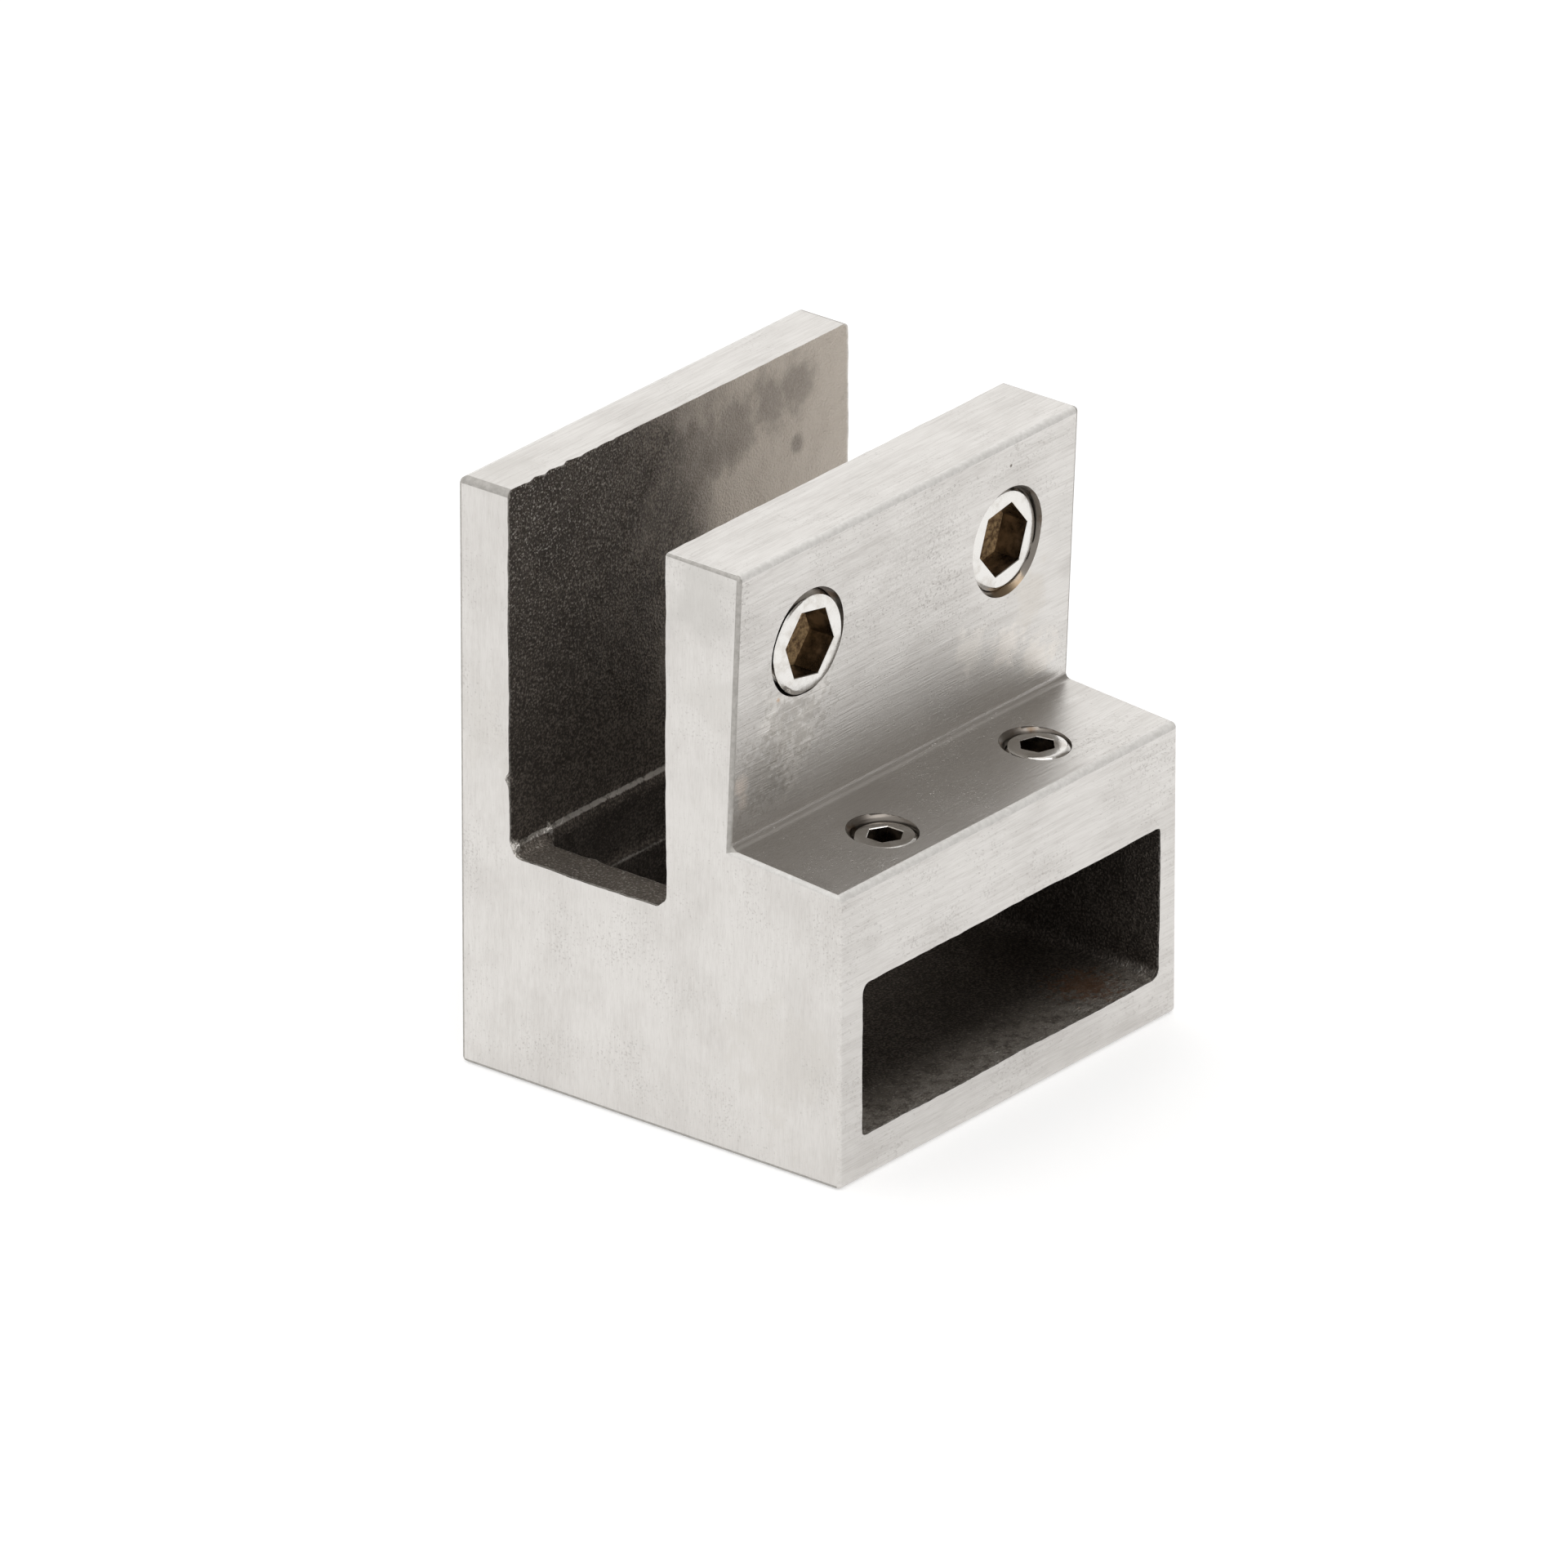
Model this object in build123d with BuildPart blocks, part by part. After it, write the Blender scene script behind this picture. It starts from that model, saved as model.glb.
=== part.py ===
"""A cast steel connector that carries the edge of a glass panel on the end of a flat bar.

The glass stands in the open channel between two upright plates, and two large set screws in the
front plate clamp it. The bar slides into the socket in the front face, and two small set screws
in the step above the socket clamp it. All sizes are in millimetres.

X runs along the channel, the socket opens towards -Y, and +Z points up. The origin is in the
middle of the underside.
"""

from build123d import *
from math import sqrt
import os

os.makedirs("parts", exist_ok=True)

# The socket for the flat bar, and the walls round it
socket_width = 35.4
socket_height = 12.3
socket_corner = 0.9
base_thickness = 3.5
left_wall = 2.6
right_wall = 2.0  # the outside was ground by hand, more off this end

# The web between the socket and the channel, with its window
web_thickness = 2.2
window_side_ledge = 1.2
window_front_ledge = 1.0
window_back_ledge = 0.8
window_corner = 1.5

# The step in front of the front plate
step_depth = 10.4
step_roof = 7.9  # metal over the socket at the front edge of the step
step_rise = 0.8  # the step climbs this much to the front plate
step_fillet = 1.0

# The two upright plates and the channel between them
front_plate_root = 6.0
front_plate_flare = 1.0  # the front plate is this much thicker at its top
channel_width = 14.9
channel_depth = 28.7
channel_back_fillet = 1.2
channel_front_chamfer = 0.8
back_plate = 4.7
back_plate_rise = 0.8  # the back plate stands this much above the front one

# Rounding of the ground outside
edge_round = 0.5
back_top_round = 0.6
end_round = 0.7 * edge_round

# Set screws that clamp the glass, in the front plate
glass_screw_radius = 4.0
glass_screw_length = 6.0
glass_screw_key = 5.0
glass_screw_key_depth = 2.4
glass_screw_cup = 2.5
glass_mouth_chamfer = 0.15

# Set screws that clamp the bar, in the roof of the socket
bar_screw_radius = 2.5
bar_screw_length = 8.0
bar_screw_key = 2.5
bar_screw_key_depth = 3.0
bar_screw_cup = 1.25
bar_mouth_chamfer = 0.25

# What all the screws share
thread_clearance = 0.05  # radial, between a screw and its hole
screw_rim_chamfer = 0.25
screw_point_chamfer = 0.7
key_lead_in = 0.15

# The holes were set out by hand, so each screw has its own place: from the side of the socket to
# its axis, and from the plate's top or from the front face. The setback is how far it sits below
# the face round it, and the turn is that of its key socket.
glass_screws = {
    "left": {"from_side": 5.8, "from_top": 8.2, "setback": -0.2, "turn": -10},
    "right": {"from_side": 6.1, "from_top": 8.2, "setback": 0.3, "turn": 10},
}
bar_screws = {
    "left": {"from_side": 8.0, "from_front": 4.3, "setback": 0.2, "turn": 30},
    "right": {"from_side": 8.3, "from_front": 5.1, "setback": 0.0, "turn": 42},
}

# Places worked out from the sizes above
length = left_wall + socket_width + right_wall
depth = step_depth + front_plate_root + channel_width + back_plate
front_y = -depth / 2
plate_y = front_y + step_depth
channel_front_y = plate_y + front_plate_root
channel_back_y = channel_front_y + channel_width
back_y = channel_back_y + back_plate
plate_top_y = plate_y - front_plate_flare

socket_roof_z = base_thickness + socket_height
channel_floor_z = socket_roof_z + web_thickness
step_front_z = socket_roof_z + step_roof
step_back_z = step_front_z + step_rise
front_top_z = channel_floor_z + channel_depth
back_top_z = front_top_z + back_plate_rise

core_x = (left_wall - right_wall) / 2  # middle of the socket and of the window
socket_depth = channel_back_y - window_back_ledge - front_y
window_width = socket_width - 2 * window_side_ledge
window_depth = channel_width - window_front_ledge - window_back_ledge
window_y = channel_front_y + window_front_ledge + window_depth / 2
sides = {"left": -1, "right": 1}


def screw_x(side, from_side):
    """The place along the channel of a screw that lies so far in from one side of the socket."""
    return core_x + sides[side] * (socket_width / 2 - from_side)


def glass_seat(side, setback=0.0):
    """The plane of a glass screw's outer end, facing out of the front plate."""
    place = glass_screws[side]
    axis_z = front_top_z - place["from_top"]
    share = (axis_z - step_back_z) / (front_top_z - step_back_z)
    face_y = plate_y - front_plate_flare * share
    origin = (screw_x(side, place["from_side"]), face_y + setback, axis_z)
    return Plane(origin, x_dir=(1, 0, 0), z_dir=(0, -1, 0))


def bar_seat(side, setback=0.0):
    """The plane of a bar screw's outer end, facing up out of the step."""
    place = bar_screws[side]
    face_z = step_front_z + step_rise * place["from_front"] / step_depth
    origin = (screw_x(side, place["from_side"]), front_y + place["from_front"], face_z - setback)
    return Plane(origin, x_dir=(1, 0, 0), z_dir=(0, 0, 1))


# The side view of the casting, one corner after another: its place (Y, Z) and its radius
side_view = [
    ((front_y, 0), edge_round),
    ((back_y, 0), edge_round),
    ((back_y, back_top_z), back_top_round),
    ((channel_back_y, back_top_z), 0),
    ((channel_back_y, channel_floor_z), channel_back_fillet),
    ((channel_front_y + channel_front_chamfer, channel_floor_z), 0),
    ((channel_front_y, channel_floor_z + channel_front_chamfer), 0),
    ((channel_front_y, front_top_z), 0),
    ((plate_top_y, front_top_z), edge_round),
    ((plate_y, step_back_z), step_fillet),
    ((front_y, step_front_z), edge_round),
]


def on_outside(edge):
    """True for an edge that the grinder reached: all but those of the channel."""
    spot = edge.center()
    in_channel = channel_front_y - 0.01 < spot.Y < channel_back_y + 0.01
    return not (in_channel and channel_floor_z - 0.01 < spot.Z)


# The body is one casting: the side view pulled along the channel, with rounded ends
with BuildPart() as connector_body:
    with BuildSketch(Plane.YZ):
        with BuildLine():
            FilletPolyline(
                *[place for place, radius in side_view],
                radius=[radius for place, radius in side_view],
                close=True,
            )
        make_face()
    extrude(amount=length / 2, both=True)
    end_faces = connector_body.faces().filter_by(Axis.X)
    fillet(end_faces.edges().filter_by(on_outside), end_round)

    # The socket runs from the front face to just short of the channel's back wall
    with BuildSketch(Plane.XZ.offset(-front_y)):
        with Locations((core_x, base_thickness + socket_height / 2)):
            RectangleRounded(socket_width, socket_height, socket_corner)
    extrude(amount=-socket_depth, mode=Mode.SUBTRACT)

    # The window joins it to the channel above
    with BuildSketch(Plane.XY.offset(channel_floor_z)):
        with Locations((core_x, window_y)):
            RectangleRounded(window_width, window_depth, window_corner)
    extrude(amount=-web_thickness - socket_corner, mode=Mode.SUBTRACT)

    # Holes for the set screws, with chamfered mouths
    glass_hole_radius = glass_screw_radius + thread_clearance
    with Locations(*[glass_seat(side) for side in sides]):
        CounterSinkHole(
            glass_hole_radius,
            glass_hole_radius + glass_mouth_chamfer,
            depth=front_plate_root + front_plate_flare,
            counter_sink_angle=90,
        )
    bar_hole_radius = bar_screw_radius + thread_clearance
    with Locations(*[bar_seat(side) for side in sides]):
        CounterSinkHole(
            bar_hole_radius,
            bar_hole_radius + bar_mouth_chamfer,
            depth=step_back_z - socket_roof_z + socket_corner,
            counter_sink_angle=90,
        )
connector_body.part.label = "connector_body"
export_step(connector_body.part, "parts/connector_body.step")


def set_screw(seat, radius, screw_length, key, key_depth, cup_radius, turn):
    """A set screw whose outer end lies on the seat, with a hex socket there and a cup at its point."""
    key_radius = key / sqrt(3)
    with BuildPart() as screw:
        with BuildSketch(seat):
            Circle(radius)
        extrude(amount=-screw_length)
        rims = screw.edges().filter_by(GeomType.CIRCLE)
        outer_rim, point_rim = rims.sort_by(Axis(seat.origin, -seat.z_dir))
        chamfer(outer_rim, screw_rim_chamfer)
        chamfer(point_rim, screw_point_chamfer)
        with BuildSketch(seat):
            RegularPolygon(key_radius, 6, rotation=turn)
        extrude(amount=-key_depth, mode=Mode.SUBTRACT)
        with Locations(seat):
            Cone(
                key_radius - key_lead_in,
                key_radius + key_lead_in,
                2 * key_lead_in,
                mode=Mode.SUBTRACT,
            )
        with Locations(seat.offset(-screw_length)):
            Cone(
                cup_radius,
                cup_radius / 5,
                cup_radius / 2,
                align=(Align.CENTER, Align.CENTER, Align.MIN),
                mode=Mode.SUBTRACT,
            )
    return screw.part


# The glass screws, threaded into the front plate from outside
for side, fit in glass_screws.items():
    glass_screw = set_screw(
        glass_seat(side, fit["setback"]),
        glass_screw_radius,
        glass_screw_length,
        glass_screw_key,
        glass_screw_key_depth,
        glass_screw_cup,
        fit["turn"],
    )
    glass_screw.label = f"glass_screw_{side}"
    export_step(glass_screw, f"parts/glass_screw_{side}.step")

# The bar screws, threaded down through the step
for side, fit in bar_screws.items():
    bar_screw = set_screw(
        bar_seat(side, fit["setback"]),
        bar_screw_radius,
        bar_screw_length,
        bar_screw_key,
        bar_screw_key_depth,
        bar_screw_cup,
        fit["turn"],
    )
    bar_screw.label = f"bar_screw_{side}"
    export_step(bar_screw, f"parts/bar_screw_{side}.step")

print(f"outside {length:.2f} x {depth:.2f} x {back_top_z:.2f} mm")
print(f"channel from y {channel_front_y:.3f} to {channel_back_y:.3f}, floor z {channel_floor_z:.3f}")
for side in sides:
    for kind, seat in (("glass", glass_seat(side)), ("bar", bar_seat(side))):
        print(f"{side} {kind} screw's mouth at {seat.origin.X:.2f}, {seat.origin.Y:.2f}, {seat.origin.Z:.2f}")
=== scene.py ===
# %% [markdown]
# # A connector for glass, cast in steel
# The object is a small block of cast steel. A flat bar goes into the socket in its front, and the
# edge of a glass panel stands in the channel between its two plates. Two large screws clamp the
# glass and two small ones clamp the bar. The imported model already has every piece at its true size
# and place. This lesson dresses those pieces: real threads, a rough cast inside and a ground outside.

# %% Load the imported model
from functools import reduce
from math import ceil, cos, exp, pi, radians, sin, tau

import bmesh
import bpy
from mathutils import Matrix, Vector, noise


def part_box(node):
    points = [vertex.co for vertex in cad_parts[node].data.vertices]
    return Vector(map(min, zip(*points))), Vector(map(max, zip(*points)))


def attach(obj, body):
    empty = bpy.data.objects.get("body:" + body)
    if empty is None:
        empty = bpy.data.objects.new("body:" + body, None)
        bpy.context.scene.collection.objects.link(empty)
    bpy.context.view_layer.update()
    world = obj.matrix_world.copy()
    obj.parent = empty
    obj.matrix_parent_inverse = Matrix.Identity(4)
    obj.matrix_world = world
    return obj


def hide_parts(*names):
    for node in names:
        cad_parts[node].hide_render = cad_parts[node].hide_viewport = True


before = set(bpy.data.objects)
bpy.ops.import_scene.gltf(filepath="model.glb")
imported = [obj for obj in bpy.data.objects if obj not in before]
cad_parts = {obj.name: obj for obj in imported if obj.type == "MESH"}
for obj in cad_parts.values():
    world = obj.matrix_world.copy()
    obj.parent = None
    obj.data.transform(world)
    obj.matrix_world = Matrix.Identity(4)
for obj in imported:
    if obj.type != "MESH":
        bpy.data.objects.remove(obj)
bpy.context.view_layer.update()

MM = 0.001
body_low, body_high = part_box("connector_body")
print("body", [round((high - low) / MM, 2) for low, high in zip(body_low, body_high)], "mm")

# %% [markdown]
# ## Measures
# The outer box of each node is read from the frame. What lies inside that box, such as the channel
# and the socket, is written here once in millimetres, and each piece below takes its places from
# these values. Working in millimetres keeps the numbers easy to compare with a drawing.

# %% Measures of the casting, in millimetres
left_x, right_x = body_low[0] / MM, body_high[0] / MM
front_y, back_y = body_low[1] / MM, body_high[1] / MM
back_top_z = body_high[2] / MM
front_top_z = back_top_z - 0.8  # the back plate stands this much higher

plate_root_y, plate_top_y = -7.6, -8.6
step_front_z, step_back_z = 23.7, 24.5
channel_front_y, channel_back_y, channel_floor_z = -1.6, 13.3, 18.0
socket_left_x, socket_right_x = -17.4, 18.0
socket_floor_z, socket_roof_z, socket_back_y = 3.5, 15.8, 12.5
print("channel", round(channel_back_y - channel_front_y, 2), "mm wide, socket",
      round(socket_right_x - socket_left_x, 2), "x", round(socket_roof_z - socket_floor_z, 2), "mm")

# %% [markdown]
# ## The camera
# The picture was taken from far away with a long lens, so the edges run almost parallel. The same
# view needs a camera two metres out with a very long focal length. A direction and a distance place
# it: the camera sits on a line from the middle of the object, and a track quaternion turns it.

# %% Camera
IMAGE_SIDE = 1920
FOCAL_PIXELS = 31690
SENSOR = 36.0
aim = Vector((-3.600, 0.465, 21.760)) * MM
towards_camera = Vector((-0.7087, -0.5700, 0.4158))
camera_distance = 1913.8 * MM

camera_data = bpy.data.cameras.new("camera")
camera_data.sensor_width = SENSOR
camera_data.lens = FOCAL_PIXELS / IMAGE_SIDE * SENSOR
camera_data.clip_start = 0.05
camera_data.clip_end = 20.0
camera = bpy.data.objects.new("camera", camera_data)
camera.location = aim + towards_camera.normalized() * camera_distance
camera.rotation_euler = towards_camera.to_track_quat("Z", "Y").to_euler()
bpy.context.scene.collection.objects.link(camera)
bpy.context.scene.camera = camera
print("lens", round(camera_data.lens, 1), "mm, camera at", tuple(round(v, 3) for v in camera.location))

# %% [markdown]
# ## Helpers for shader nodes
# Every finish below is a small network of nodes. Adding a node, giving it its values and joining
# it to others is the same work each time, so two short helpers do it. A value that is a socket is
# linked, and any other value is set.

# %% Node helpers
def add_node(tree, kind, settings=None, **values):
    """Add a node, set its properties, and fill its inputs by name."""
    node = tree.nodes.new(kind)
    for key, value in (settings or {}).items():
        setattr(node, key, value)
    feed(tree, node, **values)
    return node


def socket_of(node, key):
    """Find an input by its name in code, such as Base_Color, or by its number, such as in_1."""
    if key.startswith("in_"):
        return node.inputs[int(key[3:])]
    return node.inputs[key.replace("_", " ")]


def feed(tree, node, **values):
    """Link or set several inputs of a node."""
    for key, value in values.items():
        target = socket_of(node, key)
        if isinstance(value, bpy.types.NodeSocket):
            tree.links.new(value, target)
        else:
            target.default_value = value


def math_node(tree, operation, first, second, third=0.0, clamp=False):
    settings = {"operation": operation, "use_clamp": clamp}
    return add_node(tree, "ShaderNodeMath", settings, in_0=first, in_1=second, in_2=third).outputs[0]


def product(tree, *values):
    return reduce(lambda first, second: math_node(tree, "MULTIPLY", first, second), values)


def strongest(tree, *masks):
    return reduce(lambda first, second: math_node(tree, "MAXIMUM", first, second), masks)


def scaled(tree, value, factor, plus):
    return math_node(tree, "MULTIPLY_ADD", value, factor, plus)


def blend_node(tree, share, first, second):
    """Blend two colours by a share from 0 to 1."""
    node = add_node(tree, "ShaderNodeMix", {"data_type": "RGBA"}, in_0=share, in_6=first, in_7=second)
    return node.outputs[2]


def band_node(tree, value, low, high):
    """Turn a value into a mask: 0 below low, 1 above high, smooth between them."""
    settings = {"interpolation_type": "SMOOTHSTEP"}
    return add_node(tree, "ShaderNodeMapRange", settings, in_0=value, in_1=low, in_2=high).outputs[0]


def range_node(tree, value, low, high, first, last):
    """Carry a value from one range over to another, and stop at its ends."""
    return add_node(tree, "ShaderNodeMapRange", in_0=value, in_1=low, in_2=high, in_3=first,
                    in_4=last).outputs[0]


def new_group(name, inputs, outputs):
    """Start a shader node group. An input's first value says its kind: a number, a place or a colour."""
    tree = bpy.data.node_groups.new(name, "ShaderNodeTree")
    for title, value in inputs.items():
        number = isinstance(value, float)
        kind = "Float" if number else "Vector" if len(value) == 3 else "Color"
        made = tree.interface.new_socket(title, in_out="INPUT", socket_type=f"NodeSocket{kind}")
        made.default_value = value
    for title, kind in outputs.items():
        tree.interface.new_socket(title, in_out="OUTPUT", socket_type=f"NodeSocket{kind}")
    return tree, tree.nodes.new("NodeGroupInput"), tree.nodes.new("NodeGroupOutput")


def place_group(tree, group, **values):
    return add_node(tree, "ShaderNodeGroup", {"node_tree": group}, **values)


def object_place(tree):
    """The place on the object itself, so that a finish stays with its piece."""
    return add_node(tree, "ShaderNodeTexCoord").outputs["Object"]


def noise_node(tree, vector, scale, detail, roughness):
    node = add_node(tree, "ShaderNodeTexNoise", Vector=vector, Scale=scale, Detail=detail,
                    Roughness=roughness)
    return node.outputs[0]


print("node helpers ready")

# %% [markdown]
# ## Light
# Satin steel has hardly any colour of its own and shows its surroundings instead. The picture was
# lit by a white room: white floor, white walls and a wide soft light, and only one side of
# the room, in front and to the right, was darker. The world carries that room as a colour that
# depends on direction, and one wide lamp overhead adds a soft shadow. Mirrored in the steel the
# room has its full strength, matt surfaces gather a little less, and the camera sees pure white.

# %% World
WORLD_LEVEL = 0.94  # the share of the room's light that matt surfaces gather
ROOM_LIGHT = (1.0, 0.995, 0.985, 1.0)
ROOM_DARK = (0.20, 0.184, 0.166, 1.0)
ROOM_BRIGHT = (1.20, 1.195, 1.185, 1.0)
WHITE = (1.0, 1.0, 1.0, 1.0)
dark_side = Vector((0.709, -0.570, 0.416)).normalized()
bright_side = Vector((0.709, 0.570, 0.416)).normalized()

scene = bpy.context.scene
scene.view_settings.view_transform = "Standard"
world = bpy.data.worlds.new("white room")
world.use_nodes = True
scene.world = world
tree = world.node_tree
tree.nodes.clear()
direction = add_node(tree, "ShaderNodeTexCoord").outputs["Generated"]


def side_of_room(towards, start, full):
    """A soft mask of the directions that lie near one side of the room."""
    near = add_node(tree, "ShaderNodeVectorMath", {"operation": "DOT_PRODUCT"},
                    in_0=direction, in_1=tuple(towards)).outputs["Value"]
    return band_node(tree, near, start, full)


def background(colour, strength):
    return add_node(tree, "ShaderNodeBackground", Color=colour, Strength=strength).outputs[0]


room = blend_node(tree, side_of_room(bright_side, 0.30, 0.85), ROOM_LIGHT, ROOM_BRIGHT)
room = blend_node(tree, side_of_room(dark_side, 0.50, 0.92), room, ROOM_DARK)
rays = add_node(tree, "ShaderNodeLightPath").outputs
mirrored = strongest(tree, rays["Is Glossy Ray"], rays["Is Transmission Ray"])
around = add_node(tree, "ShaderNodeMixShader", in_0=mirrored, in_1=background(room, WORLD_LEVEL),
                  in_2=background(room, 1.0)).outputs[0]
seen = add_node(tree, "ShaderNodeMixShader", in_0=rays["Is Camera Ray"], in_1=around,
                in_2=background(WHITE, 1.0)).outputs[0]
add_node(tree, "ShaderNodeOutputWorld", Surface=seen)
print("world level", WORLD_LEVEL)

# %% Lamp
lamp_data = bpy.data.lights.new("overhead", "AREA")
lamp_data.shape = "DISK"
lamp_data.size = 0.6
lamp_data.energy = 1.8
lamp = bpy.data.objects.new("overhead", lamp_data)
lamp.location = (-0.05, -0.30, 0.80)
lit_spot = Vector((0, 0, 0.02))
lamp.rotation_euler = (lamp.location - lit_spot).to_track_quat("Z", "Y").to_euler()
scene.collection.objects.link(lamp)
print("one soft lamp of", lamp_data.energy, "watt")

# %% [markdown]
# ## The floor
# The floor is plain and white. Seen straight on or mirrored in the steel it glows a little, so
# that it reads as the same white as the world, while its own diffuse part still takes the shadow.

# %% Floor
FLOOR_COLOUR = (0.64, 0.64, 0.64, 1.0)
FLOOR_GLOW = 0.47


def make_floor():
    size = 4.0
    bm = bmesh.new()
    bmesh.ops.create_grid(bm, x_segments=2, y_segments=2, size=size)
    mesh = bpy.data.meshes.new("floor")
    bm.to_mesh(mesh)
    bm.free()
    floor = bpy.data.objects.new("floor", mesh)
    floor.location.z = -0.05 * MM
    scene.collection.objects.link(floor)
    material = bpy.data.materials.new("floor white")
    material.use_nodes = True
    nodes = material.node_tree
    nodes.nodes.clear()
    ray = add_node(nodes, "ShaderNodeLightPath").outputs
    direct = strongest(nodes, ray["Is Camera Ray"], ray["Is Glossy Ray"], ray["Is Transmission Ray"])
    matt = add_node(nodes, "ShaderNodeBsdfDiffuse", Color=FLOOR_COLOUR).outputs[0]
    glow = add_node(nodes, "ShaderNodeEmission", Color=WHITE,
                    Strength=product(nodes, direct, FLOOR_GLOW)).outputs[0]
    both = add_node(nodes, "ShaderNodeAddShader", in_0=matt, in_1=glow).outputs[0]
    add_node(nodes, "ShaderNodeOutputMaterial", Surface=both)
    mesh.materials.append(material)
    return floor


floor = make_floor()
print("floor at z", round(floor.location.z / MM, 3), "mm")

# %% [markdown]
# ## Finish: the grain of a ground face
# A grinding belt leaves fine parallel scratches. They are far longer than wide, so a noise texture
# that is squeezed across the grain and stretched along it gives their look. Four layers add up:
# hair-fine scratches, wider streaks, soft blotches where the belt pressed less, and small pits. The
# group gives a colour, a roughness and a height, and each ground material sets its own direction.

# %% Group: ground grain
FINISH_OUTPUTS = {"Color": "Color", "Roughness": "Float", "Height": "Float"}  # name and kind


def build_ground_grain():
    inputs = {
        "Stretch": (0.03, 1.0, 1.0),
        "Light": (0.69, 0.67, 0.645, 1.0),
        "Dark": (0.50, 0.475, 0.45, 1.0),
        "Smooth": 0.30,
        "Rough": 0.44,
        "Scratches": 0.35,
        "Blotches": 0.25,
        "Pits": 0.5,
    }
    tree, start, end = new_group("ground grain", inputs, FINISH_OUTPUTS)
    where = object_place(tree)
    given = start.outputs
    drawn = add_node(tree, "ShaderNodeVectorMath", {"operation": "MULTIPLY"},
                     in_0=where, in_1=given["Stretch"]).outputs[0]
    hair = noise_node(tree, drawn, 11000.0, 2.0, 0.6)
    streak = noise_node(tree, drawn, 3200.0, 3.0, 0.55)
    pressed = noise_node(tree, drawn, 420.0, 2.0, 0.5)
    grain = scaled(tree, hair, 0.62, product(tree, streak, 0.38))
    scratched = product(tree, band_node(tree, grain, 0.40, 0.66), given["Scratches"])
    cloud = scaled(tree, pressed, 0.35, noise_node(tree, where, 150.0, 5.0, 0.62))
    cloud = product(tree, band_node(tree, cloud, 0.58, 0.86), given["Blotches"])
    # Pits are the hollows of the cast skin that the belt just reached.
    pit_noise = noise_node(tree, where, 5200.0, 2.0, 0.55)
    pit_field = noise_node(tree, where, 190.0, 3.0, 0.6)
    pit_level = scaled(tree, pit_field, 0.45, pit_noise)
    pits = product(tree, band_node(tree, pit_level, 0.87, 0.95), given["Pits"])
    dark = math_node(tree, "ADD", scratched, math_node(tree, "ADD", cloud, pits), clamp=True)
    colour = blend_node(tree, dark, given["Light"], given["Dark"])
    uneven = math_node(tree, "ADD", grain, cloud)
    rough = range_node(tree, uneven, 0.3, 0.8, given["Smooth"], given["Rough"])
    height = scaled(tree, pits, -1.4, grain)
    feed(tree, end, Color=colour, Roughness=rough, Height=height)
    return tree


ground_grain = build_ground_grain()
print("group", ground_grain.name, "with", len(ground_grain.nodes), "nodes")

# %% [markdown]
# ## Finish: the skin of a casting
# Steel cast in a ceramic mould keeps the mould's pebbled skin, in grains of about a fifth of a
# millimetre. Voronoi cells look like such packed grains, and a noise at a few sizes breaks their
# regularity. The skin is dark with scale in its hollows and bright where a grain tip was rubbed.
# Sparkle adds painted highlights: glints on grain tips, in the same rubbed colour.

# %% Group: cast skin
def build_cast_skin():
    inputs = {
        "Grain": 4600.0,
        "Skin": (0.235, 0.205, 0.177, 1.0),
        "Hollow": (0.080, 0.069, 0.059, 1.0),
        "Clean Skin": (0.58, 0.525, 0.465, 1.0),
        "Rubbed And Glint": (0.66, 0.63, 0.59, 1.0),
        "Clean": 0.0,
        "Rub": 0.0,
        "Sparkle": 0.6,
    }
    tree, start, end = new_group("cast skin", inputs, FINISH_OUTPUTS)
    where = object_place(tree)
    given = start.outputs
    cells = add_node(tree, "ShaderNodeTexVoronoi", {"feature": "SMOOTH_F1"}, Vector=where,
                     Scale=given["Grain"], Smoothness=0.6).outputs["Distance"]
    lumps = noise_node(tree, where, product(tree, given["Grain"], 1.3), 3.0, 0.6)
    tips = math_node(tree, "SUBTRACT", lumps, product(tree, cells, 0.30))
    patches = noise_node(tree, where, 210.0, 4.0, 0.6)
    hollow = band_node(tree, scaled(tree, patches, -0.25, tips), 0.40, 0.14)
    hollow = product(tree, hollow, math_node(tree, "SUBTRACT", 1.0, given["Clean"]))
    colour = blend_node(tree, hollow, given["Skin"], given["Hollow"])
    # The Clean share lifts the skin to its clean colour; the casting also feeds painted light through
    # it.
    colour = blend_node(tree, given["Clean"], colour, given["Clean Skin"])
    # A rub takes the tips first, and a strong one takes nearly all.
    rubbed = scaled(tree, tips, 0.55, given["Rub"])
    rubbed = band_node(tree, rubbed, 0.42, 0.95)
    # Sparkle is a painted highlight: glints on the grain tips, laid in the rubbed colour.
    sparkle = product(tree, band_node(tree, tips, 0.43, 0.56), given["Sparkle"])
    bright = strongest(tree, rubbed, sparkle)
    colour = blend_node(tree, bright, colour, given["Rubbed And Glint"])
    feed(tree, end, Color=colour, Roughness=range_node(tree, bright, 0.0, 1.0, 0.55, 0.36), Height=tips)
    return tree


cast_skin = build_cast_skin()
print("group", cast_skin.name, "with", len(cast_skin.nodes), "nodes")

# %% [markdown]
# ## Finish: rust and stains
# Rust shows at a few known places: on the socket's floor near its right end, at the bottom of the
# large key sockets, and as faint dots on the plate. A stain is a soft ball around a place, with
# its rim torn by noise. The group takes the place and size and gives a mask from 0 to 1.

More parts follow.
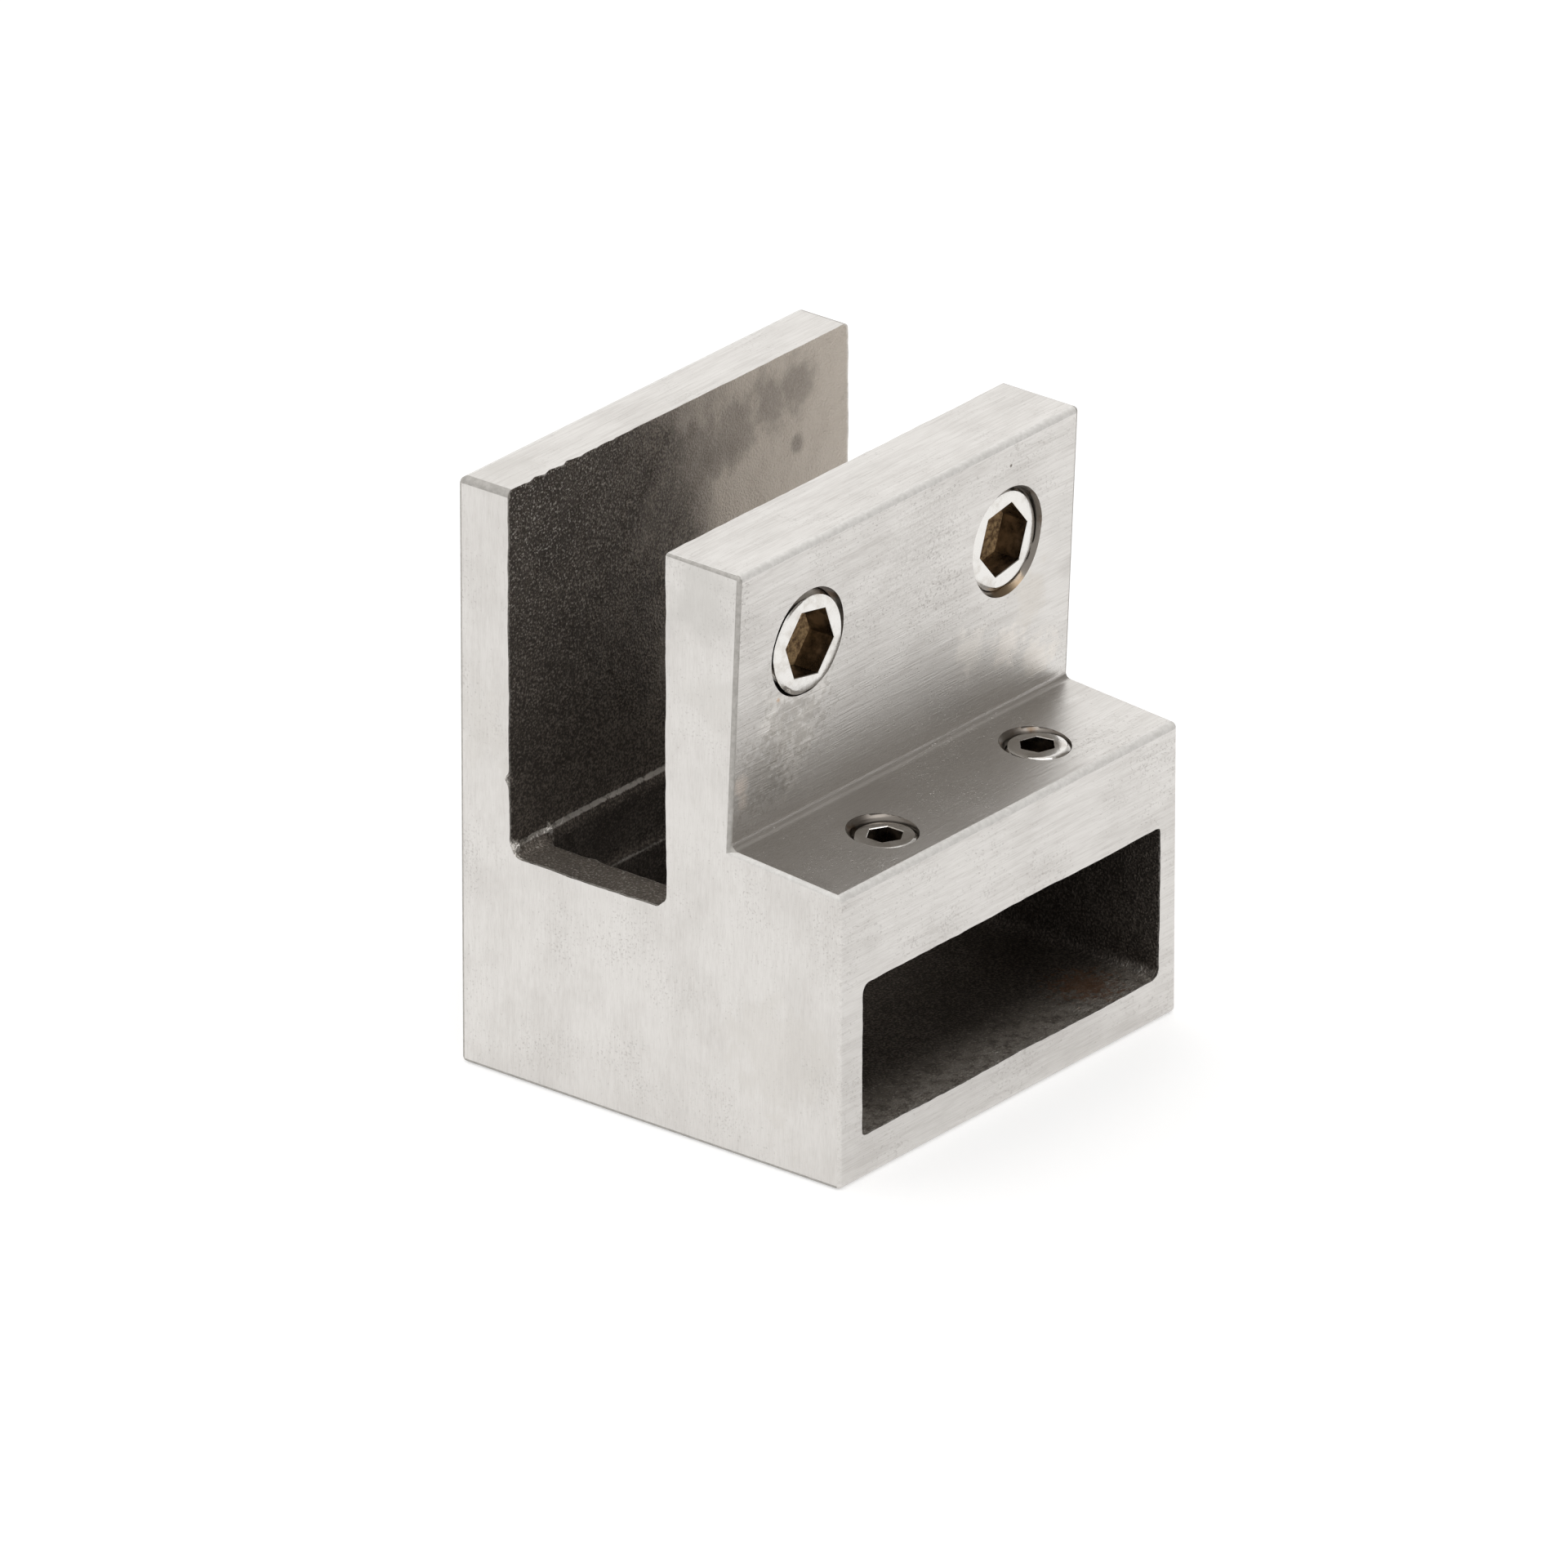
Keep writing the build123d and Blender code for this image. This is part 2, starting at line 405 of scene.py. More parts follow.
# %% Group: stain spot
def build_stain_spot():
    inputs = {
        "Place": (0.0, 0.0, 0.0),
        "Reach": 0.002,
        "Detail Scale": 900.0,
        "Tear": 1.2,
    }
    tree, start, end = new_group("stain spot", inputs, {"Mask": "Float"})
    where = object_place(tree)
    given = start.outputs
    away = add_node(tree, "ShaderNodeVectorMath", {"operation": "DISTANCE"},
                    in_0=where, in_1=given["Place"]).outputs["Value"]
    nearness = math_node(tree, "SUBTRACT", 1.0, math_node(tree, "DIVIDE", away, given["Reach"]))
    torn = noise_node(tree, where, given["Detail Scale"], 5.0, 0.65)
    torn = product(tree, math_node(tree, "SUBTRACT", torn, 0.5), given["Tear"])
    total = math_node(tree, "ADD", nearness, torn)
    feed(tree, end, Mask=band_node(tree, total, 0.15, 0.75))
    return tree


def stain_mask(tree, place, reach, detail, tear):
    """The mask of one stain, with its place and reach in millimetres."""
    place = tuple(value * MM for value in place)
    return place_group(tree, stain_spot, Place=place, Reach=reach * MM, Detail_Scale=detail,
                       Tear=tear).outputs["Mask"]


stain_spot = build_stain_spot()
print("group", stain_spot.name, "with", len(stain_spot.nodes), "nodes")

# %% [markdown]
# ## Materials
# Six finishes cover the casting: ground along the length on the front, back, step and tops;
# ground up and down on the two ends; two kinds of rubbed edge; the cast skin inside; and cut steel
# in the threads, painted dark as the shade down in the holes. The Principled shader stands in the
# material itself, and the groups only feed its sockets.

# %% Helpers: metal materials
def new_metal(name):
    """A material with a metallic Principled shader, ready for its links."""
    material = bpy.data.materials.new(name)
    material.use_nodes = True
    tree = material.node_tree
    shader = tree.nodes["Principled BSDF"]
    feed(tree, shader, Metallic=1.0)
    return material, tree, shader


def new_stained_metal(name, field, band, first, second):
    """A metal in two colours, which a noise of a scale, detail and roughness mixes over a band."""
    material, tree, shader = new_metal(name)
    mixed = noise_node(tree, object_place(tree), *field)
    feed(tree, shader, Base_Color=blend_node(tree, band_node(tree, mixed, *band), first, second))
    return material, tree, shader, mixed


def add_bump(tree, shader, height, distance):
    bump = add_node(tree, "ShaderNodeBump", Height=height, Distance=distance, Strength=1.0)
    feed(tree, shader, Normal=bump.outputs["Normal"])


print("metal helpers ready")

# %% Materials: ground steel
def make_ground_steel(name, stretch, **values):
    material, tree, shader = new_metal(name)
    grain = place_group(tree, ground_grain, Stretch=stretch, **values).outputs
    feed(tree, shader, Base_Color=grain["Color"], Roughness=grain["Roughness"])
    add_bump(tree, shader, grain["Height"], 0.028 * MM)
    return material


DRAWN = 0.035  # how much a scratch is drawn out along the grain
steel_along = make_ground_steel("ground along", (DRAWN, 1.0, 1.0),
                                Scratches=0.42, Blotches=0.20, Pits=0.35)
steel_up = make_ground_steel("ground up", (1.0, 1.0, 2.6 * DRAWN),
                             Scratches=0.26, Blotches=0.24, Pits=0.45)
print("ground steel:", steel_along.name, "and", steel_up.name)

# %% [markdown]
# Each real connector has marks of its own. The front plate has pale patches that the belt hardly
# touched, with pits of the skin beside them, warm clouds at its right end and a few rust dots. Two
# pinkish spots near its left end are a painted reflection of light. Each mark is a stain spot in a
# list, with its place on the object, so one function can lay them all.

# %% Marks on the ground faces
def add_marks(material, marks):
    """Lay marks on a finish, each with its place, reach, detail scale, tear, and colour and share."""
    tree = material.node_tree
    shader = tree.nodes["Principled BSDF"]
    colour = shader.inputs["Base Color"].links[0].from_socket
    for place, reach, detail, tear, stain in marks:
        share = product(tree, stain_mask(tree, place, reach, detail, tear), stain[3])
        colour = blend_node(tree, share, colour, (*stain[:3], 1.0))
    feed(tree, shader, Base_Color=colour)


LONG_MARKS = [
    ((-14.0, -7.9, 31.5), 5.6, 420.0, 3.0, (0.84, 0.81, 0.77, 0.58)),
    ((-13.0, -7.9, 32.6), 4.6, 1700.0, 4.2, (0.36, 0.335, 0.30, 0.42)),
    ((-16.5, -7.8, 29.5), 4.2, 1900.0, 4.0, (0.34, 0.315, 0.28, 0.38)),
    # Painted reflection: two pinkish light spots near the left end stand for light reflected onto the
    # plate.
    ((-19.0, -7.8, 29.4), 1.3, 900.0, 1.2, (0.86, 0.765, 0.69, 0.68)),
    ((-18.6, -7.8, 28.0), 1.0, 900.0, 1.2, (0.85, 0.77, 0.70, 0.56)),
    ((-14.9, -8.1, 35.0), 0.30, 2500.0, 1.0, (0.60, 0.36, 0.20, 0.6)),
    ((1.6, -8.4, 41.0), 5.5, 5200.0, 5.0, (0.36, 0.34, 0.32, 0.22)),
    ((7.9, -7.9, 31.0), 2.6, 600.0, 3.0, (0.85, 0.81, 0.76, 0.52)),
    ((12.3, -7.9, 29.8), 2.8, 700.0, 3.0, (0.85, 0.80, 0.745, 0.54)),
    ((16.2, -7.9, 27.7), 2.6, 600.0, 3.0, (0.83, 0.78, 0.72, 0.48)),
    ((15.0, -8.1, 33.0), 3.4, 500.0, 2.6, (0.60, 0.55, 0.48, 0.30)),
    ((12.0, -8.5, 44.6), 0.22, 2500.0, 1.0, (0.12, 0.10, 0.08, 0.9)),
    ((-17.0, 15.5, 47.5), 4.0, 600.0, 2.0, (0.58, 0.56, 0.53, 0.50)),
    ((18.8, -8.0, 38.0), 3.4, 260.0, 1.2, (0.60, 0.585, 0.56, 0.40)),
]
# Greyer clouds on the left end: soft darker spots over its grain.
END_MARKS = [
    ((-20.0, -5.0, 44.0), 5.0, 300.0, 1.6, (0.58, 0.565, 0.54, 0.60)),
    ((-20.0, -6.0, 36.0), 4.0, 260.0, 2.6, (0.58, 0.56, 0.53, 0.40)),
    ((-20.0, -12.0, 9.0), 7.0, 420.0, 3.4, (0.62, 0.595, 0.56, 0.45)),
    ((-20.0, 15.5, 28.0), 5.0, 500.0, 3.4, (0.60, 0.575, 0.54, 0.35)),
]
add_marks(steel_along, LONG_MARKS)
add_marks(steel_up, END_MARKS)
print(len(LONG_MARKS), "marks on the long faces,", len(END_MARKS), "on the end")

# %% [markdown]
# The edges were broken by hand with emery, so they are rougher than the faces, scratched every way,
# and greyer. On the long edges that face the front this hides most of the mirror, and the edges of
# the two ends keep more of it.

# %% Materials: rubbed edges
def make_rubbed_edge(name, metallic, light, dark):
    """The finish of an edge, by how much of the metal's mirror is left in it."""
    material, tree, shader, scuffs = new_stained_metal(name, (2200.0, 4.0, 0.65), (0.35, 0.65),
                                                       light, dark)
    feed(tree, shader, Metallic=metallic, Roughness=0.6)
    add_bump(tree, shader, scuffs, 0.015 * MM)
    return material


edge_long = make_rubbed_edge("rubbed long edge", 0.15,
                             light=(0.78, 0.765, 0.74, 1.0), dark=(0.68, 0.665, 0.64, 1.0))
edge_end = make_rubbed_edge("rubbed end edge", 0.50,
                            light=(0.50, 0.48, 0.455, 1.0), dark=(0.40, 0.385, 0.36, 1.0))
print("edges:", edge_long.name, "and", edge_end.name)


# %% [markdown]
# ## The cast inside
# The skin isn't the same all over. The channel is dark at its left end and lighter towards the right,
# with smoky clouds; the lighter right end is painted light. Glass and bar rubbed the places that
# they touch, a painted highlight runs along the ledge, and painted shade darkens the window, where
# no light gets far down. Each of these is a mask over the object's own places, one short function each.

# %% Masks: where the skin is painted lighter, towards the right end
# Soft dark clouds on the channel's back wall: place and reach in millimetres.
SMOKE = [
    ((1.5, 13.3, 43.2), 6.0), ((6.5, 13.3, 43.0), 5.0), ((10.5, 13.3, 43.9), 4.0),
    ((14.0, 13.3, 44.6), 3.6), ((13.7, 13.3, 39.6), 1.3), ((0.5, 13.3, 38.5), 4.5),
]


def span(tree, value, low, high):
    """A mask over places, with its ends in millimetres."""
    return band_node(tree, value, low * MM, high * MM)


# Painted light: the channel's skin is made lighter towards its open right end, as if lit from there, and
# less so under the smoky clouds.
def lit_right_end(tree, where, place):
    clouds = noise_node(tree, where, 110.0, 4.0, 0.55)
    along = scaled(tree, clouds, 22 * MM, place["X"])
    in_channel = span(tree, place["Z"], channel_floor_z + 1.0, channel_floor_z + 9.0)
    smoke = 0.0
    for centre, reach in SMOKE:
        smoke = strongest(tree, smoke, stain_mask(tree, centre, reach, 330.0, 1.7))
    unsmoked = scaled(tree, smoke, -0.50, 1.0)
    return product(tree, span(tree, along, 8.0, 20.0), in_channel, unsmoked)


print("painted light towards the right, with", len(SMOKE), "smoky clouds")

# %% Masks: where glass and bar rubbed, with a painted highlight on the ledge and painted light at the mouth
LEDGE_Z = (18.45, 18.72, 18.90, 19.15)  # the painted highlight line behind the window: begins, full, full, ends
WEAR = "wear"  # a value that the casting's mesh carries, 1 on a worn corner


def low_in_channel(tree, place):
    return span(tree, place["Z"], channel_floor_z + 0.9, channel_floor_z + 0.3)


def ledge_highlight(tree, place, broken):
    """A painted highlight: the broken bright line along the foot of the channel's back wall, where a
    small rounded ledge catches the light.
    """
    begins = span(tree, place["Z"], LEDGE_Z[0], LEDGE_Z[1])
    ends = span(tree, place["Z"], LEDGE_Z[3], LEDGE_Z[2])
    at_back = span(tree, place["Y"], 12.6, 12.9)
    return product(tree, begins, ends, at_back, scaled(tree, broken, 0.50, 0.40))


def rubbed_and_lit_mouth(tree, place, broken):
    """The floor of the socket near its mouth, where the bar slides in: lighter partly from rubbing and
    partly as painted light from the open front.
    """
    near = span(tree, place["Y"], front_y + 7.0, front_y + 0.5)
    at_floor = span(tree, place["Z"], socket_floor_z + 1.0, socket_floor_z + 0.4)
    return product(tree, near, at_floor, scaled(tree, broken, 1.1, 0.35))


def shaded_depth(tree, place):
    """Down in the window and on the socket's right wall: painted shade, where little light reaches."""
    below = span(tree, place["Z"], channel_floor_z + 0.1, channel_floor_z - 0.6)
    to_the_right = span(tree, place["X"], 17.2, 17.7)
    to_the_back = span(tree, place["Y"], -2.0, 2.0)
    return product(tree, below, strongest(tree, to_the_right, to_the_back))


print("painted highlight line on the back wall from z", LEDGE_Z[0], "to", LEDGE_Z[-1], "mm")

# %% Material: as cast
# A near-black colour painted as shade down in the window and on the socket's right wall.
SHADE_COLOUR = (0.02, 0.018, 0.016, 1.0)
SOCKET_RUST = ((13.5, -14.5, socket_floor_z), 3.6, 1700.0, 3.6, (0.26, 0.125, 0.06, 0.65))


def make_cast_steel():
    material, tree, shader = new_metal("as cast")
    where = object_place(tree)
    place = add_node(tree, "ShaderNodeSeparateXYZ", in_0=where).outputs
    broken = band_node(tree, noise_node(tree, where, 1300.0, 3.0, 0.6), 0.30, 0.62)
    low = low_in_channel(tree, place)
    mouth = rubbed_and_lit_mouth(tree, place, broken)
    strip = product(tree, span(tree, place["X"], -15.9, -16.9), low)
    rim = product(tree, span(tree, place["X"], -19.6, -19.9), low)
    worn = add_node(tree, "ShaderNodeAttribute", {"attribute_name": WEAR}).outputs["Fac"]
    # The rub also carries the ledge's painted highlight, beside the worn corners and the rim.
    rub_and_highlight = strongest(tree, worn, ledge_highlight(tree, place, broken), rim, product(tree, mouth, 0.30))
    # The clean share is partly painted light: the lighter right end of the channel, and part of the
    # mouth's lightening.
    clean_and_lit = strongest(tree, lit_right_end(tree, where, place), product(tree, strip, 0.15),
                      product(tree, mouth, 0.42))
    # Painted highlights: grain tips glint most near the top of the channel's left end, and at the
    # socket's mouth and on the floor strip.
    glint = product(tree, span(tree, place["X"], -2.0, -19.0), span(tree, place["Z"], 20.0, 46.0))
    glint = scaled(tree, glint, 0.95, 0.05)
    glint = strongest(tree, glint, mouth, product(tree, strip, 0.7))
    skin = place_group(tree, cast_skin, Rub=rub_and_highlight, Clean=clean_and_lit, Sparkle=glint)
    # Painted shade: the deep places are darkened towards the near-black shade colour.
    shade_share = product(tree, shaded_depth(tree, place), 0.4)
    colour = blend_node(tree, shade_share, skin.outputs["Color"], SHADE_COLOUR)
    feed(tree, shader, Base_Color=colour, Roughness=skin.outputs["Roughness"])
    add_marks(material, [SOCKET_RUST])
    add_bump(tree, shader, skin.outputs["Height"], 0.12 * MM)
    return material


steel_cast = make_cast_steel()
print("cast steel:", steel_cast.name)


# %% Material: cut thread, painted dark as shade
def make_thread_steel():
    """Cut steel painted dark as the shade down in the deep, narrow holes, with rust by the right glass
    screw.
    """
    material, tree, shader, _ = new_stained_metal("cut thread in painted shade", (500.0, 4.0, 0.6), (0.52, 0.72),
                                                  (0.20, 0.18, 0.16, 1.0), (0.11, 0.07, 0.04, 1.0))
    feed(tree, shader, Roughness=0.32)
    add_marks(material, [((12.2, -8.2, 34.2), 3.0, 900.0, 1.2, (0.40, 0.30, 0.20, 1.0))])
    return material


shaded_thread_steel = make_thread_steel()
print("thread steel:", shaded_thread_steel.name)

# %% [markdown]
# ## The block
# The outside of the casting is one prism: its side view, pulled along the length. Grinding by hand
# rounded each edge by its own amount, so every edge carries a bevel weight and one Bevel modifier
# rounds them all. The channel is cut out later, so here the two plates are still one mass.

# %% Helpers: prism and rounding
def place_mesh(bm, name):
    """Turn a finished bmesh into an object in the scene."""
    mesh = bpy.data.meshes.new(name)
    bm.to_mesh(mesh)
    bm.free()
    piece = bpy.data.objects.new(name, mesh)
    scene.collection.objects.link(piece)
    return piece


def prism(name, outline, low, high, radius_of, axis=0, segments=6):
    """A solid with rounded edges: an outline in millimetres, pulled along the axis that it lacks."""
    bm = bmesh.new()
    rows = []
    for along in (low, high):
        places = [(*spot[:axis], along, *spot[axis:]) for spot in outline]
        rows.append([bm.verts.new(Vector(place) * MM) for place in places])
    for row in rows:
        bm.faces.new(row)
    for i in range(len(outline)):
        j = (i + 1) % len(outline)
        bm.faces.new((rows[0][i], rows[0][j], rows[1][j], rows[1][i]))
    bmesh.ops.recalc_face_normals(bm, faces=bm.faces)
    piece = place_mesh(bm, name)
    round_edges(piece, radius_of, segments)
    return settle(piece)


def round_edges(piece, radius_of, segments):
    """Give each edge its own rounding: radius_of takes its two ends in millimetres."""
    mesh = piece.data
    radii = []
    for edge in mesh.edges:
        ends = [mesh.vertices[i].co / MM for i in edge.vertices]
        radii.append(radius_of(*ends))
    largest = max(radii)
    weights = mesh.attributes.new("bevel_weight_edge", "FLOAT", "EDGE")
    weights.data.foreach_set("value", [radius / largest for radius in radii])
    bevel = piece.modifiers.new("rounding", "BEVEL")
    bevel.limit_method = "WEIGHT"
    bevel.width = largest * MM
    bevel.segments = segments
    bevel.use_clamp_overlap = False


def settle(piece):
    """Turn a piece's modifiers into its own mesh."""
    shaped = piece.evaluated_get(bpy.context.evaluated_depsgraph_get())
    mesh = bpy.data.meshes.new_from_object(shaped)
    old = piece.data
    piece.modifiers.clear()
    piece.data = mesh
    mesh.name = piece.name
    bpy.data.meshes.remove(old)
    return piece


def rectangle(left, low, right, high):
    return [(left, low), (right, low), (right, high), (left, high)]


print("prism helpers ready")

# %% The block
END_ROUND = 0.30
TOP_END_ROUND = 0.50  # at the top of the back plate
EDGE_ROUND = 0.45
BACK_TOP_ROUND = 0.6
STEP_FILLET = 0.6
inside_y = 6.0  # anywhere in the channel, which is cut out later

side_view = [
    (front_y, 0.0), (back_y, 0.0), (back_y, back_top_z), (inside_y, back_top_z),
    (inside_y, front_top_z), (plate_top_y, front_top_z), (plate_root_y, step_back_z),
    (front_y, step_front_z),
]


def block_radius(a, b):
    """The rounding of an edge of the block, by where the edge lies."""
    if max(abs(a.y - inside_y), abs(b.y - inside_y)) < 0.1:
        return 0.0
    if abs(a.x - b.x) < 1.0:
        return TOP_END_ROUND if min(a.z, b.z) > back_top_z - 0.1 else END_ROUND
    if abs(a.y - back_y) < 0.1 and a.z > 1.0:
        return BACK_TOP_ROUND
    if abs(a.y - plate_root_y) < 0.1:
        return STEP_FILLET
    return EDGE_ROUND


block = prism("connector", side_view, left_x, right_x, block_radius)
print("block:", len(block.data.polygons), "faces")

# %% [markdown]
# ## The core
# In the foundry a ceramic core keeps the hollows open while the steel runs in. The same idea
# works here: one core object fills the channel, the window and the socket, and is then taken away
# from the block. Remeshing the core into small even squares gives it a skin that noise can move,
# so the cast walls wave and the ground edges that meet them come out ragged, as real ones do.

# %% Solids of the core
OVER = 1.6  # how far the core stands out of the block
CUT_CORNER = 0.8  # at the foot of the channel's front wall
channel_view = [
    (channel_front_y + CUT_CORNER, channel_floor_z), (channel_back_y, channel_floor_z),
    (channel_back_y, back_top_z + OVER), (channel_front_y, back_top_z + OVER),
    (channel_front_y, channel_floor_z + CUT_CORNER),
]


def channel_core_radius(a, b):
    at_back, at_floor = min(a.y, b.y) > channel_back_y - 0.1, max(a.z, b.z) < channel_floor_z + 0.1
    return 1.2 if at_back and at_floor else 0.0


def upright_radius(a, b):
    return 1.5 if abs(a.z - b.z) > 1.0 else 0.0


def socket_core_radius(a, b):
    """The core's corners differ: two were scraped round when it was made."""
    if abs(a.y - b.y) < 1.0:
        return 0.9 if a.y > 0 and b.y > 0 else 0.0
    left, low = a.x < 0, a.z < socket_floor_z + 1.0
    return 0.8 if left != low else 0.3


channel_core = prism("channel core", channel_view, left_x - OVER, right_x + OVER, channel_core_radius)

socket_view = rectangle(socket_left_x, socket_floor_z, socket_right_x, socket_roof_z)
socket_core = prism("socket core", socket_view, front_y - OVER, socket_back_y, socket_core_radius,
                    axis=1, segments=5)

window_left_x, window_right_x, window_front_y, window_back_y = -16.2, 16.8, -0.6, 12.97
window_view = rectangle(window_left_x, window_front_y, window_right_x, window_back_y)
window_core = prism("window core", window_view, socket_roof_z - 2.0, channel_floor_z + 2.0,
                    upright_radius, axis=2)
print("core solids ready")

# %% One core with a skin
CORE_SQUARE = 0.28


def join_meshes(name, pieces):
    """Put the meshes of several pieces into one new object and remove the pieces."""
    bm = bmesh.new()
    for piece in pieces:
        bm.from_mesh(piece.data)
        bpy.data.objects.remove(piece)
    return place_mesh(bm, name)


core = join_meshes("core", [channel_core, socket_core, window_core])
remesh = core.modifiers.new("small squares", "REMESH")
remesh.mode = "VOXEL"
remesh.voxel_size = CORE_SQUARE * MM
settle(core)
print("core:", len(core.data.polygons), "squares")

# %% Roughen the core
# Each wave has a length and a height in millimetres.
WAVES = [(9.0, 0.10), (2.4, 0.06), (0.9, 0.045)]
# Grains of steel where the core had a hole, and notches where it had a lump: place, reach, height.
NODULES = [
    ((-20.1, 13.30, 24.25), 0.36, -0.40),
    ((-19.4, 13.05, 18.75), 0.40, 0.50), ((-15.6, 13.15, 18.75), 0.32, 0.42),
    ((-16.2, 8.0, 17.9), 0.35, 0.20), ((-10.5, 13.3, 27.0), 0.22, 0.10),
    ((-17.6, 13.3, 47.5), 0.30, 0.16), ((-16.7, 13.3, 47.5), 0.26, -0.14),
    ((-15.8, 13.3, 47.5), 0.30, 0.18), ((-14.9, 13.3, 47.4), 0.26, -0.12),
    ((-13.7, 13.3, 47.5), 0.26, 0.16), ((-12.9, 13.3, 47.5), 0.25, -0.15),
    ((-11.6, 13.3, 47.5), 0.28, 0.12), ((-9.6, 13.3, 47.5), 0.25, 0.12),
    ((-7.8, 13.3, 47.5), 0.25, 0.10),
]


def roughen(piece, waves, nodules):
    mesh = piece.data
    normals = [vertex.normal.copy() for vertex in mesh.vertices]
    for vertex, normal in zip(mesh.vertices, normals):
        place = vertex.co / MM
        push = 0.0
        for number, (wave, height) in enumerate(waves):
            push += height * noise.noise(place / wave + Vector((17.0 * number, 0, 0)))
        for centre, reach, height in nodules:
            away = (place - Vector(centre)).length_squared / reach ** 2
            if away < 9.0:
                push -= height * exp(-away)
        vertex.co += normal * push * MM


roughen(core, WAVES, NODULES)
core.data.materials.append(steel_cast)
print("core roughened by up to", sum(height for _, height in WAVES), "mm")

# %% [markdown]
# ## Threads
# A thread is a groove that climbs by one pitch in each turn. Its surface can be laid as a grid: one
# direction goes round and the other climbs, and each row starts where the row one turn below
# ended. Rows past an end are pressed flat onto it and merged, which trims the thread to length.
# The same function makes the outside of a screw and the cutter for its hole.

# %% Thread surface
AROUND = 96
STATIONS = (0.0, 0.125, 0.28125, 0.4375, 0.5, 0.5625, 0.71875, 0.875)


def thread_radius(turns, crest, root):
    """Radius of a thread by the share of a turn: a flat crest, two flanks and a flat root."""
    away = abs(turns % 1.0 - 0.5) * 2
    slope = min(max((away - 0.125) / 0.625, 0.0), 1.0)
    return crest + (root - crest) * slope


class Turned:
    """Rings of points round an axis, joined into a skin that begins and ends in a point on the axis."""

    def __init__(self, seat, outward, start_angle, height):
        self.bm = bmesh.new()
        self.seat = Vector(seat)
        self.outward = Vector(outward)
        self.side = Vector((1, 0, 0))
        self.up = self.outward.cross(self.side)
        self.start = start_angle
        self.last = [self.on_axis(height) for k in range(AROUND)]

    def on_axis(self, height):
        return self.bm.verts.new((self.seat + self.outward * height) * MM)

    def angle(self, k):
        return self.start + tau * k / AROUND

    def point(self, k, radius, height):
        a = self.angle(k)
        place = self.seat + self.side * radius * cos(a) + self.up * radius * sin(a)
        return self.bm.verts.new((place + self.outward * height) * MM)

    def join(self, row, material=0):
        """Join a row of points to the last one."""
        for k in range(AROUND):
            following = (k + 1) % AROUND
            corners = (self.last[k], self.last[following], row[following], row[k])
            self.bm.faces.new(corners).material_index = material
        self.last = row

    def ring(self, radius_of, height_of, material=0):
        """Add a ring; the radius and the height are numbers or functions of the angle."""
        row = []
        for k in range(AROUND):
            radius = radius_of(self.angle(k)) if callable(radius_of) else radius_of
            height = height_of(self.angle(k)) if callable(height_of) else height_of
            row.append(self.point(k, radius, height))
        self.join(row, material)

    def close(self, height):
        tip = self.on_axis(height)
        for k in range(AROUND):
            self.bm.faces.new((self.last[k], self.last[(k + 1) % AROUND], tip))

    def thread(self, radius_of, top, bottom, pitch):
        """A thread from top down to bottom; radius_of takes a share of a turn, a height and an angle."""
        turns = int((top - bottom) / pitch) + 2
        stations = [turn + station for turn in range(-1, turns) for station in STATIONS]
        rows = []
        for station in stations:
            row = []
            for k in range(AROUND):
                height = min(max(top - (station + k / AROUND) * pitch, bottom), top)
                share = (top - height) / pitch - k / AROUND
                row.append(self.point(k, radius_of(share, height, self.angle(k)), height))
            rows.append(row)
        self.join(rows[0])
        for i in range(len(rows) - 1):
            for k in range(AROUND - 1):
                self.bm.faces.new((rows[i][k], rows[i][k + 1], rows[i + 1][k + 1], rows[i + 1][k]))
            below = i + len(STATIONS)
            if below + 1 < len(rows):
                self.bm.faces.new((rows[i][-1], rows[below][0], rows[below + 1][0], rows[i + 1][-1]))
        self.last = rows[-1]

    def finish(self, name):
        bmesh.ops.remove_doubles(self.bm, verts=self.bm.verts, dist=0.0005 * MM)
        bmesh.ops.dissolve_degenerate(self.bm, edges=self.bm.edges, dist=0.0002 * MM)
        bmesh.ops.recalc_face_normals(self.bm, faces=self.bm.faces)
        loose = [edge for edge in self.bm.edges if not edge.is_manifold]
        print(name, len(self.bm.faces), "faces,", len(loose), "open edges")
        return place_mesh(self.bm, name)


# %% [markdown]
# ## The tapped holes
# Each hole is drilled, tapped and broken at its mouth by hand, so no mouth is quite round. Its
# cutter is the screw's own thread made a little larger, so that the ridge in the hole runs in the
# groove of the screw. The holes were drilled wide before they were tapped, so their ridges are low
# and clear the screw's full rim.

# %% Screw data
SCREWS = {
    "glass": dict(radius=4.0, root=3.35, pitch=1.25, key=5.0, key_depth=2.4, cup=2.5, dome=0.08,
                  through=8.5, turns={"left": -10, "right": 10}),
    "bar": dict(radius=2.5, root=2.08, pitch=0.8, key=2.5, key_depth=3.0, cup=1.25, dome=0.05,
                through=9.5, turns={"left": 30, "right": 42}),
}
SIDES = ("left", "right")
THREAD_GAP = 0.06
HOLE_OVER = 0.6
EDGE_SOFTNESS = 0.06
RIM_CHAMFER = 0.22  # round a screw's outer end
# How each mouth was broken: towards an angle, or all round, by a width, and how steeply.
MOUTHS = {
    ("glass", "left"): [(None, 0.04, 1.0), (50, 0.20, 3.0), (215, 0.30, 1.6)],
    ("glass", "right"): [(None, 0.04, 1.0), (60, 0.14, 3.0), (-85, 0.62, 1.2)],
    ("bar", "left"): [(None, 0.05, 4.0), (None, 0.13, 0.8), (160, 0.05, 4.0)],
    ("bar", "right"): [(None, 0.05, 3.0), (None, 0.12, 0.8)],
}


